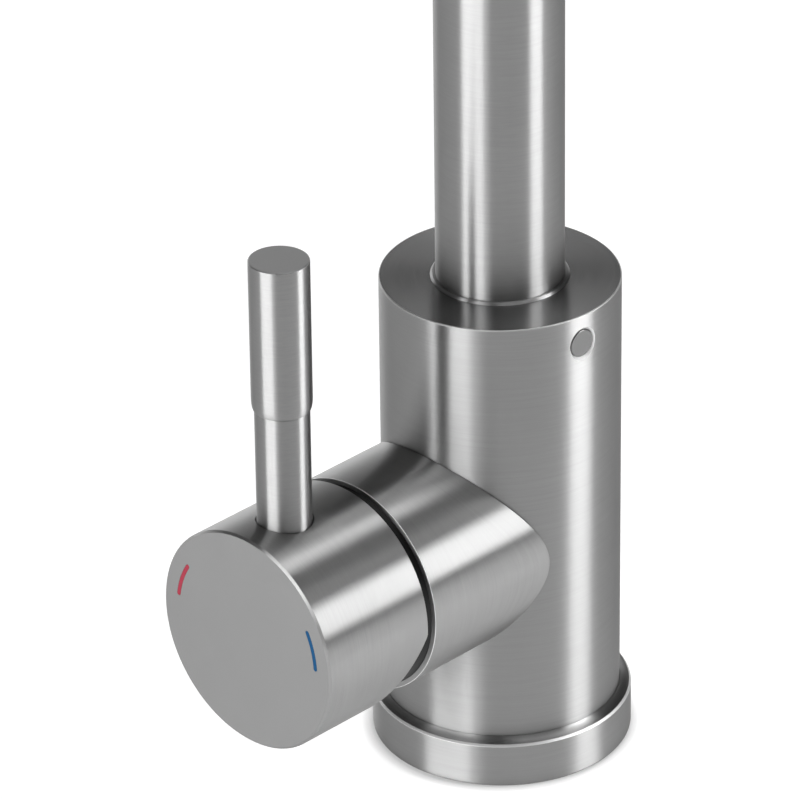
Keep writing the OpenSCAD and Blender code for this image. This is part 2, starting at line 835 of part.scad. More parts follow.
module spout_nipple() {
    color("goldenrod") difference() {
        lathe([
            [nipple_in_r, nipple_h],
            [nipple_r, nipple_h],
            [nipple_r, foot_h],
            [spigot_r, foot_h],
            [spigot_r, foot_h + spigot_len],
            [nipple_in_r, foot_h + spigot_len]
        ]);
        for (h = glide_heights()) groove(h, glide_w, glide_in_r - close);
        for (h = o_ring_heights()) groove(h, o_ring_t, o_ring_mid_r - o_ring_t / 2 - close);
        groove(screw_h - keeper_w / 2, keeper_w, keeper_r);
    }
}

// A ring cut into the nipple, a little wider than what lies in it
module groove(height, width, floor_r) {
    translate([0, 0, height - close]) tube(nipple_r + over, floor_r, width + 2 * close);
}

module spout_o_rings() {
    color("black") for (h = o_ring_heights()) translate([0, 0, h]) o_ring(o_ring_mid_r, o_ring_t);
}

module spout_glide_rings() {
    color("white") for (h = glide_heights()) translate([0, 0, h]) tube(socket_r - close, glide_in_r, glide_w);
}

module aerator_collar() {
    color("silver") translate([0, outlet_y, outlet_h]) lathe([
        [collar_in_r - washer_w / 2, 0],
        [tube_r, 0],
        [tube_r, collar_h],
        [tube_in_r - close, collar_h],
        [tube_in_r - close, collar_h + collar_thread],
        [collar_in_r, collar_h + collar_thread],
        [collar_in_r, collar_lip],
        [collar_in_r - washer_w / 2, collar_lip]
    ]);
}

module aerator_insert() {
    pitch = (collar_in_r - washer_w) / 3;
    color("whitesmoke") translate([0, outlet_y, outlet_h + collar_lip]) difference() {
        cylinder(r = collar_in_r - close, h = insert_h);
        for (row = [1:2], step = [1:6 * row]) rotate([0, 0, 60 * step / row])
            translate([row * pitch, 0, -over]) cylinder(r = insert_hole_r, h = insert_h + 2 * over, $fn = 16);
    }
}

module aerator_washer() {
    color("black") translate([0, outlet_y, outlet_h + collar_lip + insert_h])
        tube(collar_in_r - close, collar_in_r - washer_w, washer_t);
}

module spout_screw() {
    color("dimgray") on_screw(screw_x) lathe([
        [0, 0],
        [screw_tip_r, 0],
        [screw_tip_r, screw_tip],
        [screw_r, screw_tip],
        [screw_r, screw_tip + screw_len],
        [0, screw_tip + screw_len]
    ]);
}

module screw_plug() {
    color("gray") on_screw(plug_face - plug_t) cylinder(r = plug_r, h = plug_t);
}

module fixing_stud() {
    color("lightgray") translate([stud_x, 0, -stud_drop]) cylinder(r = stud_r, h = stud_drop + stud_depth);
}

// A round plate with a slot for the supply hoses, open at the back, and a hole for the stud
module horseshoe(height) {
    difference() {
        cylinder(r = clamp_r, h = height);
        translate([-inlet_back, 0, -over]) cylinder(r = clamp_slot_r, h = height + 2 * over);
        translate([-inlet_back - clamp_r, -clamp_slot_r, -over])
            cube([clamp_r, 2 * clamp_slot_r, height + 2 * over]);
        translate([stud_x, 0, -over]) cylinder(r = stud_r + travel, h = height + 2 * over);
    }
}

module deck_rubber() {
    color("black") translate([0, 0, -deck_t - rubber_t]) horseshoe(rubber_t);
}

module clamp_plate() {
    color("lightgray") translate([0, 0, -deck_t - rubber_t - clamp_t]) horseshoe(clamp_t);
}

module stud_nut() {
    color("goldenrod") translate([stud_x, 0, -deck_t - rubber_t - clamp_t - stud_nut_h]) difference() {
        cylinder(d = nut_corners, h = stud_nut_h, $fn = 6);
        translate([0, 0, -over]) cylinder(r = stud_r + close, h = stud_nut_h + 2 * over);
    }
}

base_ring();
base_gasket();
body_shell();
valve_core();
branch_sleeve();
valve_housing();
channel_seals();
cartridge_base();
port_seals();
fixed_disc();
cartridge_body();
cartridge_nut();
dome_cover();
cartridge_spindle();
pivot_pin();
moving_disc();
disc_carrier();
cartridge_stem();
knob();
knob_set_screw();
hot_mark();
cold_mark();
lever_rod();
lever_grip();
top_bush();
spout_tube();
spout_nipple();
spout_o_rings();
spout_glide_rings();
aerator_collar();
aerator_insert();
aerator_washer();
spout_screw();
screw_plug();
fixing_stud();
deck_rubber();
clamp_plate();
stud_nut();
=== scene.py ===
# Looks of a single lever kitchen mixer tap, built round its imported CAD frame.
# Sizes are in millimetres, in the frame of the CAD source, until Shell.piece() turns them into metres.
import json
import math

import bpy
from mathutils import Matrix, Vector
from mathutils.geometry import tessellate_polygon


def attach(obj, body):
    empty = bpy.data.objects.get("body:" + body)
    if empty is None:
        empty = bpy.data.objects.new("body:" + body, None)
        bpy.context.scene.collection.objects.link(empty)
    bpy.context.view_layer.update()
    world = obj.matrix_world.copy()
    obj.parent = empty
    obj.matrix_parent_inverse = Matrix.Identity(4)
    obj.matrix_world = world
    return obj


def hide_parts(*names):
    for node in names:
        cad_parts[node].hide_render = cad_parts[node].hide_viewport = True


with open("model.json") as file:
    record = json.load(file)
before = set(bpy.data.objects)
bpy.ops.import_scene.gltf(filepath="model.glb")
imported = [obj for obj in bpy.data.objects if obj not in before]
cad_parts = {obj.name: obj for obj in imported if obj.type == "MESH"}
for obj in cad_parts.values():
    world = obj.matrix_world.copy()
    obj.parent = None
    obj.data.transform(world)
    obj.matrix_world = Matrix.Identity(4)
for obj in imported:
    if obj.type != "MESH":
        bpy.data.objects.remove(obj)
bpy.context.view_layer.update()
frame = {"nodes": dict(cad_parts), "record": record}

MM = 0.001
TURNS = 256  # columns round the larger pieces
SMALL_TURNS = 128  # columns round the smaller pieces
CREASE = 0.12  # rounding of an edge that looks sharp
CREASE_SHARE = 0.45  # most of a side that the rounding at one of its ends takes
EDGE_STEPS, CURVE_STEPS, LONG_CURVE_STEPS, BEND_STEPS = 4, 8, 12, 96
FIT = 0.05  # gap round a piece that sits in a hole
TINY = 1e-6
CONE_ROUNDS, HALVINGS = 8, 40  # rounds of two searches that close in on a length

# Body and base ring
BODY_R, BODY_H, BODY_IN_R, BODY_FOOT = 25.0, 107.1, 22.5, 7.8
BODY_TOP, BODY_EDGE = 2.5, 0.25
RING_R, RING_H, RING_EDGE_R, RING_TOP, RING_LIP_R = 27.45, 10.2, 27.05, 11.2, 25.08
RING_TOE, RING_FOOT, RING_BORE_R = 0.9, 3.0, 18.6
RING_GROOVE = (20.675, 25.375, 1.6)  # inner and outer radius and depth of the seal's groove

# Valve branch, along +X
VALVE_H, BRANCH_R, BRANCH_IN_R, BRANCH_REACH, BRANCH_END_R = 52.0, 23.3, 21.3, 43.8, 25.2
PIVOT_X, DOME_R, DOME_WALL = 33.0, 24.78, 1.2
SKIRT_X, SKIRT_IN_R, DOME_OPEN_R = 38.2, 19.9, 14.5

# Knob and marks
KNOB_R, KNOB_X, FACE_X, KNOB_BEVEL = 23.85, 46.55, 74.7, 0.45
HOLLOW_R, RELIEF_DROP, RELIEF_ANGLE = 25.98, 1.35, math.radians(28.5)
MARK_R, MARK_W, MARK_T, MARK_HALF = 19.75, 0.9, 0.4, math.radians(11.5)
HOT_ANGLE, COLD_ANGLE = math.radians(-69.0), math.radians(74.5)

# Lever
LEVER_X, ROD_R, ROD_FOOT, ROD_RING = 63.15, 5.63, 22.65, 0.35
THREAD_R, THREAD_LEN, SPIGOT_R, SPIGOT_LEN = 3.4, 8.0, 3.6, 26.0
GRIP_R, GRIP_START, GRIP_LEN, GRIP_SWELL, SWELL_STEPS, GRIP_EDGE = 6.2, 49.0, 33.4, 2.6, 10, 0.3

# Spout, bush and aerator
TUBE_R, TUBE_IN_R, TUBE_FOOT, BEND_H, BEND_R, LEG_END = 13.3, 11.8, 104.0, 285.0, 97.5, 254.0
BUSH_IN_R, BUSH_R, BUSH_TOP_R, BUSH_LIP = 13.35, 13.95, 14.45, 0.5
OUTLET_H, COLLAR_H, COLLAR_IN_R, COLLAR_THREAD, COLLAR_LIP, WASHER_W = 246.0, 8.0, 10.65, 6.0, 1.2, 2.2

# Spout screw's plug
PLUG_H, PLUG_ANGLE, PLUG_R, PLUG_T, PLUG_RECESS, PLUG_RIM = 100.5, math.radians(86.0), 3.02, 1.9, 0.35, 0.65

RISER = BEND_H - TUBE_FOOT
POCKET_R = ROD_R + ROD_RING

# Patches of the round walls that carry a hole: half heights, half widths in columns, half numbers of rows,
# and rings of faces between the patch's edge and the hole's
BRANCH_GAP_H, BRANCH_GAP_COLUMNS, BRANCH_GAP_ROWS, BRANCH_GAP_RINGS = 23.4, 44, 6, 10
PLUG_GAP_H, PLUG_GAP_COLUMNS, PLUG_GAP_ROWS, PLUG_GAP_RINGS = 3.9, 7, 4, 2
POCKET_GAP_H, POCKET_GAP_COLUMNS, POCKET_GAP_ROWS, POCKET_GAP_RINGS = 7.75, 13, 4, 4

# Brushed lines: lines to a centimetre, how far they wander on their way round, and their share of the whole
BRUSH_LINES = (160.0, 3.0, 0.2), (34.0, 2.0, 0.45), (13.0, 1.2, 0.35)
BUMP, GRAIN_DEPTH = 0.00002, 0.3  # depth of a full bump, in metres, and the share of it that grain takes
LINE_ROUGH, SMUDGE_ROUGH, GRAIN_ROUGH = 0.06, 0.02, 0.03  # how far each raises and lowers the roughness
SMUDGE_SCALE, GRAINS_TO_PATCH = 38.0, 24
STEEL_TINT = 0.55  # colour of steel seen at a low angle

# Floor: its side in metres, its glow from the ring outwards, and where each step of the glow starts and ends,
# in ring radii. The glow paints light and shade: a dim band at the ring is a painted contact shadow, a
# brighter band just outside it is a painted pool of light that the metal also reflects, and it rises to white
# far away
FLOOR_SIZE, FLOOR_SHADE, FLOOR_ROUGH = 24.0, 0.60, 0.3
FLOOR_GLOW_WITH_PAINTED_SHADOW, FLOOR_REACH = (0.25, 0.74, 0.56, 1.0), ((1.0, 1.7, 8.0), (1.1, 3.5, 40.0))

# Room: its glow, and the glow, height, direction and edge of the backdrop behind the tap
ROOM_GLOW, BACKDROP_GLOW, BACKDROP_TOP = 0.085, 4.3, 0.46
BACKDROP_WAY, BACKDROP_EDGE = (-0.545, -0.838, 0.0), (0.72, 0.92)

# Lamps: turn from +X and rise in degrees, distance and size in metres, and brightness as seen
LAMP_CENTRE = Vector((0.02, 0, 0.06))
LEFT_BOX = -2.5, 16.0, 0.9, (0.64, 0.55), 7.0
LEFT_EDGE = 22.0, 16.0, 0.9, (0.16, 0.55), 1.6
RIGHT_BOX = 122.0, 18.0, 0.42, (0.165, 0.20), 11.0
SPOUT_BOX = 110.0, 18.0, 0.42, (0.165, 0.20), 8.3
HIGH_BOX = 139.0, 36.0, 0.9, (0.22, 0.22), 1.9
TOP_BOX = 173.0, 77.0, 0.9, (0.42, 0.60), 4.3

# Camera: turn, rise and roll in degrees, the point it looks at, its distance in metres, lens and sensor
CAMERA_ANGLES, CAMERA_TARGET, CAMERA_AWAY = (44.646, 28.863, -0.733), (14.65, -14.83, 77.71), 1.32941
CAMERA_LENS, CAMERA_SENSOR, CAMERA_CLIP = 288.63, 36.0, (0.05, 20.0)

# Places whose Z axis a piece is turned about
UP, LEVEL = Matrix.Identity(4), Matrix.Rotation(math.pi / 2, 4, "Y")
BRANCH = Matrix.Translation((0, 0, VALVE_H)) @ LEVEL
LEVER = Matrix.Translation((LEVER_X, 0, VALVE_H))
OUTLET = Matrix.Translation((0, -2 * BEND_R, OUTLET_H))
PLUG = Matrix.Rotation(PLUG_ANGLE, 4, "Z") @ Matrix.Translation((0, 0, PLUG_H)) @ LEVEL


class Shell:
    """A mesh in the making. A corner is (point's number, normal, (place along, turn))."""

    def __init__(self):
        self.points, self.faces = [], []

    def ring(self, points, normals, places):
        """Corners of a new row of points."""
        first = len(self.points)
        self.points.extend(points)
        return [(first + i, *of) for i, of in enumerate(zip(normals, places))]

    def face(self, corners, slot=0):
        self.faces.append((corners, slot))

    def strip(self, low, high, slot=0, skip=(), flat=False):
        """Quads between two closed rows, or a fan if one of them is a single point."""
        count = max(len(low), len(high))
        for i in range(count):
            if i in skip:
                continue
            j = (i + 1) % count
            corners = []
            for row, k in ((low, i), (low, j), (high, j), (high, i)):
                number, normal, (along, turn) = row[k % len(row)]
                if any(number == c[0] for c in corners):
                    continue
                if corners:
                    turn -= round(turn - corners[0][2][1])
                corners.append((number, normal, (along, turn)))
            self.face(flattened(corners, self.points) if flat else corners, slot)

    def piece(self, name, body, slot, materials, *replaced):
        """The finished object, riding on its body."""
        mesh = bpy.data.meshes.new(name)
        mesh.from_pydata([p * MM for p in self.points], [], [[c[0] for c in f] for f, _ in self.faces])
        mesh.polygons.foreach_set("use_smooth", [True] * len(mesh.polygons))
        mesh.polygons.foreach_set("material_index", [s for _, s in self.faces])
        places = mesh.uv_layers.new(name="turned")
        places.data.foreach_set("uv", [x for f, _ in self.faces for c in f for x in c[2]])
        mesh.normals_split_custom_set([c[1] for f, _ in self.faces for c in f])
        mesh.update()
        made = bpy.data.objects.new("fine_" + name, mesh)
        bpy.context.scene.collection.objects.link(made)
        for material in materials:
            mesh.materials.append(material)
        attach(made, body)
        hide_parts(*replaced)
        return made


def flattened(corners, points):
    """The same corners with the face's own normal."""
    a, b, c = (points[k[0]] for k in corners[:3])
    normal = (b - a).cross(c - a)
    if len(corners) > 3:
        normal = (c - a).cross(points[corners[3][0]] - b)
    return [(number, normal.normalized(), place) for number, _, place in corners]


def rounded(corners, closed=True):
    """(radius, height, normal) points along an outline of (radius, height, rounding) corners.

    The material lies to the left of the outline's direction. A rounding of None is on a smooth curve."""
    count = len(corners)
    made = []
    for i, (r, h, rounding) in enumerate(corners):
        here = Vector((r, h))
        before, after = Vector(corners[i - 1][:2]), Vector(corners[(i + 1) % count][:2])
        if not closed and i == 0:
            way = (after - here).normalized()
            made.append((r, h, Vector((way.y, -way.x))))
            continue
        if not closed and i == count - 1:
            way = (here - before).normalized()
            made.append((r, h, Vector((way.y, -way.x))))
            continue
        one, two = (here - before).normalized(), (after - here).normalized()
        first, last = Vector((one.y, -one.x)), Vector((two.y, -two.x))
        bend = math.atan2(one.cross(two), one.dot(two))
        if rounding is None:
            made.append((r, h, (first + last).normalized()))
            continue
        slope = abs(math.tan(bend / 2))
        reach = min(rounding * slope, *(CREASE_SHARE * side.length for side in (here - before, after - here)))
        radius = reach / max(slope, TINY)
        side = 1 if bend > 0 else -1
        centre = here - one * reach - first * radius * side
        for k in range(EDGE_STEPS + 1):
            n = Matrix.Rotation(bend * k / EDGE_STEPS, 2) @ first
            p = centre + n * radius * side
            made.append((p.x, p.y, n))
    return made


def revolve(shell, outline, place=UP, turns=TURNS, closed=True, paint=None, skip=None, flat=()):
    """Turns an outline, or a function of the angle that gives one, about the place's Z axis.

    The place may be a function of the height, for a bent axis, and paint one of a strip's middle radius and
    height that gives its material's number. Returns the rows of corners."""
    angles = [2 * math.pi * i / turns for i in range(turns)]
    lines = [outline(a) if callable(outline) else outline for a in angles]
    first = lines[0]
    along = [0.0]
    for (r, h, _), (next_r, next_h, _) in zip(first, first[1:] + first[:1]):
        along.append(along[-1] + math.hypot(next_r - r, next_h - h) / 10)
    rows = []
    for k in range(len(first)):
        count = turns if max(line[k][0] for line in lines) > TINY else 1
        points, normals, places = [], [], []
        for i in range(count):
            r, h, n = lines[i][k]
            at = place(h) if callable(place) else place @ Matrix.Translation((0, 0, h))
            out = Vector((math.cos(angles[i]), math.sin(angles[i]), 0))
            points.append(at @ (out * r))
            normals.append((at.to_3x3() @ (out * n.x + Vector((0, 0, n.y)))).normalized())
            places.append((along[k], i / turns))
        rows.append(shell.ring(points, normals, places))
    for k in range(len(rows) if closed else len(rows) - 1):
        high = rows[(k + 1) % len(rows)]
        (r, h, _), (next_r, next_h, _) = first[k], first[(k + 1) % len(rows)]
        slot = paint((r + next_r) / 2, (h + next_h) / 2) if paint else 0
        if k + 1 == len(rows):
            high = [(number, n, (along[-1], turn)) for number, n, (_, turn) in high]
        shell.strip(rows[k], high, slot, skip.get(k, ()) if skip else (), k in flat)
    return rows


def arc(centre_r, centre_h, radius, start, end, steps):
    """Points of a smooth arc, each with no rounding; angles are measured from the +radius direction."""
    turns = [start + (end - start) * i / steps for i in range(steps + 1)]
    return [(centre_r + radius * math.cos(a), centre_h + radius * math.sin(a), None) for a in turns]


def creased(curve):
    """The same points with a small rounding at both ends."""
    first, *middle, last = curve
    return [(*first[:2], CREASE / 2), *middle, (*last[:2], CREASE / 2)]


def rows_round(middle, half, count):
    """Heights of the rows of a patch round a hole."""
    return [middle + half * i / count for i in range(-count, count + 1)]


def row_at(outline, radius, height):
    """The number of the outline's point that lies there."""
    return next(k for k, (r, h, _) in enumerate(outline) if math.hypot(r - radius, h - height) < TINY)


def gap(first, last, half, angle):
    """The faces of a round wall that revolve() leaves out between two rows, round an angle."""
    middle = round(angle / (2 * math.pi) * TURNS)
    return {k: {i % TURNS for i in range(middle - half, middle + half)} for k in range(first, last)}


def pierce(shell, rows, first, last, half, angle, height, radius, reach, place=UP, rings=1):
    """Fills such a gap with faces round a hole, and returns the corners of the hole's edge.

    reach(a) is how far the edge lies from the hole's axis in the direction a."""
    middle = round(angle / (2 * math.pi) * TURNS)
    loop = [rows[first][i % TURNS] for i in range(middle - half, middle + half)]
    loop += [rows[k][(middle + half) % TURNS] for k in range(first, last)]
    loop += [rows[last][i % TURNS] for i in range(middle + half, middle - half, -1)]
    loop += [rows[k][(middle - half) % TURNS] for k in range(last, first, -1)]
    back, spin = place.inverted(), place.to_3x3()
    outward = 1 if (back @ shell.points[loop[0][0]]).z < height else -1
    ends = []
    for number, _, (along, turn) in loop:
        aside = turn - angle / (2 * math.pi)
        aside -= round(aside)
        up = (back @ shell.points[number]).z - height
        a = math.atan2(up, 2 * math.pi * aside * radius)
        edge_aside = math.asin(reach(a) * math.cos(a) / radius) / (2 * math.pi)
        ends.append((along, aside, up, edge_aside, reach(a) * math.sin(a)))
    low = loop
    for ring in range(1, rings + 1):
        points, normals, places = [], [], []
        for along, aside, up, edge_aside, edge_up in ends:
            turn = angle / (2 * math.pi) + aside + (edge_aside - aside) * ring / rings
            rise = (edge_up - up) * ring / rings
            out = Vector((math.cos(2 * math.pi * turn), math.sin(2 * math.pi * turn), 0))
            points.append(place @ (out * radius + Vector((0, 0, height + up + rise))))
            normals.append(spin @ out * outward)
            places.append((along + outward * rise / 10, turn))
        high = shell.ring(points, normals, places)
        shell.strip(low, high)
        low = high
    return low


def sink(shell, edge, axis, line, slot=0):
    """Carries a hole's edge down an outline of (radius, height, normal) points, and returns the last row."""
    back, spin = axis.inverted(), axis.to_3x3()
    local = [back @ shell.points[number] for number, _, _ in edge]
    outs = [Vector((p.x, p.y, 0)).normalized() for p in local]
    low = None
    for k, (r, h, n) in enumerate(line):
        normals = [spin @ (out * n.x + Vector((0, 0, n.y))) for out in outs]
        if k == 0:
            low = [(number, normal, of) for (number, _, of), normal in zip(edge, normals)]
            continue
        count = len(edge) if r > TINY else 1
        points = [axis @ (out * r + Vector((0, 0, h))) for out in outs[:count]]
        places = [(along + k / 10, turn) for _, _, (along, turn) in edge[:count]]
        high = shell.ring(points, normals[:count], places)
        shell.strip(low, high, slot)
        low = high
    return low


def join(shell, low, far_edge, half, steps):
    """Closes a hole's wall against the edge of the same hole in the wall's other side."""
    count = len(far_edge)
    far = [far_edge[(4 * half + steps - i) % count] for i in range(count)]
    shell.strip(low, [(number, normal, of) for (number, _, of), (_, normal, _) in zip(far, low)])


def lathed(name, body, slot, looks, outline, place=UP, turns=TURNS, closed=True, paint=None, replaced=()):
    """A whole piece turned from one outline."""
    shell = Shell()
    revolve(shell, outline, place, turns, closed, paint)
    return shell.piece(name, body, slot, looks, *(replaced or (name,)))


def make_base_ring():
    """The foot, with a hollowed top and a groove for the deck's seal."""
    width, climb = RING_EDGE_R - RING_LIP_R, RING_TOP - RING_H
    radius = (width ** 2 + climb ** 2) / (2 * climb)
    start, sweep = -math.pi / 2, math.asin(width / radius)
    hollow = arc(RING_EDGE_R, RING_H + radius, radius, start, start - sweep, CURVE_STEPS)
    rim_foot = RING_H - RING_R + RING_EDGE_R
    # The rim's outer bevel takes the painted highlight colour
    lathed("base_ring", "tap_body", "outer_steel", [turned, highlight_edge_look], rounded([
        (RING_BORE_R, 0, CREASE), (RING_GROOVE[0], 0, CREASE), (RING_GROOVE[0], RING_GROOVE[2], CREASE),
        (RING_GROOVE[1], RING_GROOVE[2], CREASE), (RING_GROOVE[1], 0, CREASE), (RING_R, 0, RING_TOE),
        (RING_R, rim_foot, CREASE), (RING_EDGE_R, RING_H, CREASE / 2), *hollow[1:-1],
        (RING_LIP_R, RING_TOP, CREASE / 2), (RING_LIP_R, BODY_FOOT, CREASE), (BODY_IN_R, BODY_FOOT, CREASE),
        (BODY_IN_R, RING_FOOT, CREASE), (RING_BORE_R, RING_FOOT, CREASE),
    ]), paint=lambda r, h: int(r > RING_EDGE_R - FIT and h > rim_foot - FIT))


def make_body_shell():
    """The body's tube, with a bore for the branch and a countersunk one for the plug."""
    branch_rows = rows_round(VALVE_H, BRANCH_GAP_H, BRANCH_GAP_ROWS)
    plug_rows = rows_round(PLUG_H, PLUG_GAP_H, PLUG_GAP_ROWS)
    walls = branch_rows + plug_rows
    bush_r = BUSH_R + FIT
    outline = rounded([
        (BODY_IN_R, BODY_FOOT, CREASE), (BODY_R, BODY_FOOT, CREASE), *((BODY_R, h, None) for h in walls),
        (BODY_R, BODY_H, BODY_EDGE), (bush_r, BODY_H, CREASE), (bush_r, BODY_H - BODY_TOP, CREASE),
        (BODY_IN_R, BODY_H - BODY_TOP, CREASE), *((BODY_IN_R, h, None) for h in reversed(walls)),
    ])
    patches = []
    skip = {}
    for rows, half, angle in (
        (branch_rows, BRANCH_GAP_COLUMNS, 0), (plug_rows, PLUG_GAP_COLUMNS, PLUG_ANGLE)
    ):
        outer = row_at(outline, BODY_R, rows[0]), row_at(outline, BODY_R, rows[-1])
        inner = row_at(outline, BODY_IN_R, rows[-1]), row_at(outline, BODY_IN_R, rows[0])
        patches.append((outer, inner, half, angle))
        skip.update(gap(*outer, half, angle))
        skip.update(gap(*inner, half, angle))

    # The cone's colour is a painted highlight on the plug's countersink
    wall, rim, top, cone = range(4)  # the body's materials

    # The rim's colour is a painted highlight on the top's outer edge and on the bush's edge
    def paint(r, h):
        if h < BODY_H - BODY_EDGE:
            return wall
        return rim if r > BODY_R - BODY_EDGE or r < bush_r + CREASE else top

    shell = Shell()
    rows = revolve(shell, outline, paint=paint, skip=skip)
    plug_r = PLUG_R + FIT
    cone_foot = BODY_R - PLUG_RIM

    def countersink(a):
        """How far the cone's rim on the round body lies from the plug's axis."""
        reach = plug_r + PLUG_RIM
        for _ in range(CONE_ROUNDS):
            reach = plug_r + math.sqrt(BODY_R ** 2 - (reach * math.cos(a)) ** 2) - cone_foot
        return reach

    branch_wall = rounded([(BRANCH_IN_R, BODY_R, None), (BRANCH_IN_R, 0, None)], False)
    plug_wall = rounded([
        (plug_r + PLUG_RIM, BODY_R, None), (plug_r, cone_foot, CREASE / 2), (plug_r, 0, None)
    ], False)
    bore, plug_bore = lambda a: BRANCH_IN_R, lambda a: plug_r
    holes = (
        (VALVE_H, BRANCH_GAP_RINGS, bore, bore, BRANCH, branch_wall[:1], wall),
        (PLUG_H, PLUG_GAP_RINGS, countersink, plug_bore, PLUG, plug_wall[:-1], cone),
    )
    for (outer, inner, half, angle), hole in zip(patches, holes):
        height, rings, outer_reach, inner_reach, axis, line, slot = hole
        edge = pierce(shell, rows, *outer, half, angle, height, BODY_R, outer_reach, rings=rings)
        far = pierce(shell, rows, *inner, half, angle, height, BODY_IN_R, inner_reach, rings=rings)
        join(shell, sink(shell, edge, axis, line, slot), far, half, outer[1] - outer[0])
    materials = [turned, painted_soft_highlight, top_look, countersunk]
    shell.piece("body_shell", "tap_body", "outer_steel", materials, "body_shell")


def make_branch_sleeve():
    """The branch's tube, whose inner end follows the round body."""
    def outline(angle):
        inner, outer = (
            math.sqrt(BRANCH_END_R ** 2 - (r * math.sin(angle)) ** 2) for r in (BRANCH_IN_R, BRANCH_R)
        )
        return rounded([
            (BRANCH_IN_R, inner, CREASE), (BRANCH_R, outer, CREASE), (BRANCH_R, BRANCH_REACH, CREASE),
            (BRANCH_IN_R, BRANCH_REACH, CREASE),
        ])
    # The outer edge at the branch's end takes the painted highlight colour
    lathed(
        "branch_sleeve", "tap_body", "outer_steel", [turned, highlight_edge_look], outline, BRANCH,
        paint=lambda r, h: int(r > BRANCH_R - CREASE and h > BRANCH_REACH - CREASE)
    )


def make_dome_cover():
    """The dome in the gap behind the knob, coloured near black as painted shade for the gap, on a skirt that
    fits in the branch.
    """
    rim = math.acos((BRANCH_REACH - PIVOT_X) / DOME_R)
    inner_r = DOME_R - DOME_WALL
    top = math.pi / 2
    opening, inner_opening, skirt = (
        top - math.asin(r / radius)
        for r, radius in ((DOME_OPEN_R, DOME_R), (DOME_OPEN_R, inner_r), (SKIRT_IN_R, inner_r))
    )
    lathed("dome_cover", "tap_body", "dark_steel", [dome_shade_look], rounded([
        (SKIRT_IN_R, SKIRT_X, CREASE), (BRANCH_IN_R - FIT, SKIRT_X, CREASE),
        (BRANCH_IN_R - FIT, BRANCH_REACH, CREASE / 2),
        *creased(arc(0, PIVOT_X, DOME_R, top - rim, opening, LONG_CURVE_STEPS)),
        *creased(arc(0, PIVOT_X, inner_r, inner_opening, skirt, CURVE_STEPS)),
    ]), BRANCH)


POCKET_ROWS = rows_round(LEVER_X, POCKET_GAP_H, POCKET_GAP_ROWS)


def knob_outline(angle):
    """The knob's outline in a plane at that angle about the branch, with the slanting cut in its back."""
    def back(r):
        return KNOB_X + max(0.0, r * math.cos(angle) - RELIEF_DROP) * math.tan(RELIEF_ANGLE)
    low, high = 0.0, KNOB_R
    for _ in range(HALVINGS):
        middle = (low + high) / 2
        if math.hypot(middle, back(middle) - PIVOT_X) < HOLLOW_R:
            low = middle
        else:
            high = middle
    end = math.atan2(back(low) - PIVOT_X, low)
    hollow = arc(0, PIVOT_X, HOLLOW_R, math.pi / 2, end, LONG_CURVE_STEPS)
    edge = back(KNOB_R)
    wall = [max(h, edge + 4 * CREASE * (k + 1)) for k, h in enumerate(POCKET_ROWS)]
    return rounded([
        *hollow[:-1], (*hollow[-1][:2], CREASE / 2),
        (KNOB_R, edge, CREASE), *((KNOB_R, h, None) for h in wall), (KNOB_R, FACE_X - KNOB_BEVEL, CREASE / 2),
        (KNOB_R - KNOB_BEVEL, FACE_X, CREASE / 2), (0, FACE_X, None),
    ], False)[:-1]


def mark_outline(angle, half, height):
    """The outline of a coloured mark in the knob's face: an arc with round ends."""
    middle, steps = math.pi - angle, LONG_CURVE_STEPS
    points = []
    for side, start in ((1, 0.0), (-1, math.pi)):
        radius, end = MARK_R + side * half, middle + side * MARK_HALF
        for i in range(-steps, steps + 1):
            a = middle + side * MARK_HALF * i / steps
            points.append((radius * math.cos(a), radius * math.sin(a)))
        end_x, end_y = MARK_R * math.cos(end), MARK_R * math.sin(end)
        for i in range(1, steps):
            a = end + start + math.pi * i / steps
            points.append((end_x + half * math.cos(a), end_y + half * math.sin(a)))
    return [BRANCH @ Vector((x, y, height)) for x, y in points]


def level(shell, points, normal):
    """Corners of a row of points that lies in a face across the branch's axis."""
    spots = [BRANCH.inverted() @ p for p in points]
    places = [(math.hypot(s.x, s.y) / 10, math.atan2(s.y, s.x) / (2 * math.pi)) for s in spots]
    return shell.ring(points, [normal] * len(points), places)


def make_knob():
    """The knob, with a pocket round the lever's foot and a slot for each mark in its face."""
    shell = Shell()
    first, last = (row_at(knob_outline(math.pi), KNOB_R, h) for h in (POCKET_ROWS[0], POCKET_ROWS[-1]))
    normals = [n for _, _, n in knob_outline(math.pi)]
    back_rim = next(k for k, n in enumerate(normals) if n.y < -0.999 and k > LONG_CURVE_STEPS)
    patch = first, last, POCKET_GAP_COLUMNS, math.pi
    rows = revolve(shell, knob_outline, BRANCH, closed=False, skip=gap(*patch), flat={back_rim})
    edge = pierce(shell, rows, *patch, LEVER_X, KNOB_R, lambda a: POCKET_R, BRANCH, POCKET_GAP_RINGS)
    sink(shell, edge, LEVER, rounded([
        (POCKET_R, KNOB_R, None), (POCKET_R, ROD_FOOT, CREASE / 2), (0, ROD_FOOT, None)
    ], False))
    out = Vector((1, 0, 0))
    loops = [[(number, out, place) for number, _, place in rows[-1]]]
    for angle in (HOT_ANGLE, COLD_ANGLE):
        top = level(shell, mark_outline(angle, MARK_W / 2 + FIT, FACE_X), out)
        floor = level(shell, mark_outline(angle, MARK_W / 2 + FIT, FACE_X - MARK_T - FIT), out)
        shell.strip(top, floor, flat=True)
        shell.face(floor)
        loops.append(top)
    corners = [corner for loop in loops for corner in loop]
    for triangle in tessellate_polygon([[shell.points[number] for number, _, _ in loop] for loop in loops]):
        a, b, c = (shell.points[corners[k][0]] for k in triangle)
        turned_over = (b - a).cross(c - a).x < 0
        shell.face([corners[k] for k in (reversed(triangle) if turned_over else triangle)], 1)
    shell.piece("knob", "handle", "outer_steel", [turned, face_look], "knob")


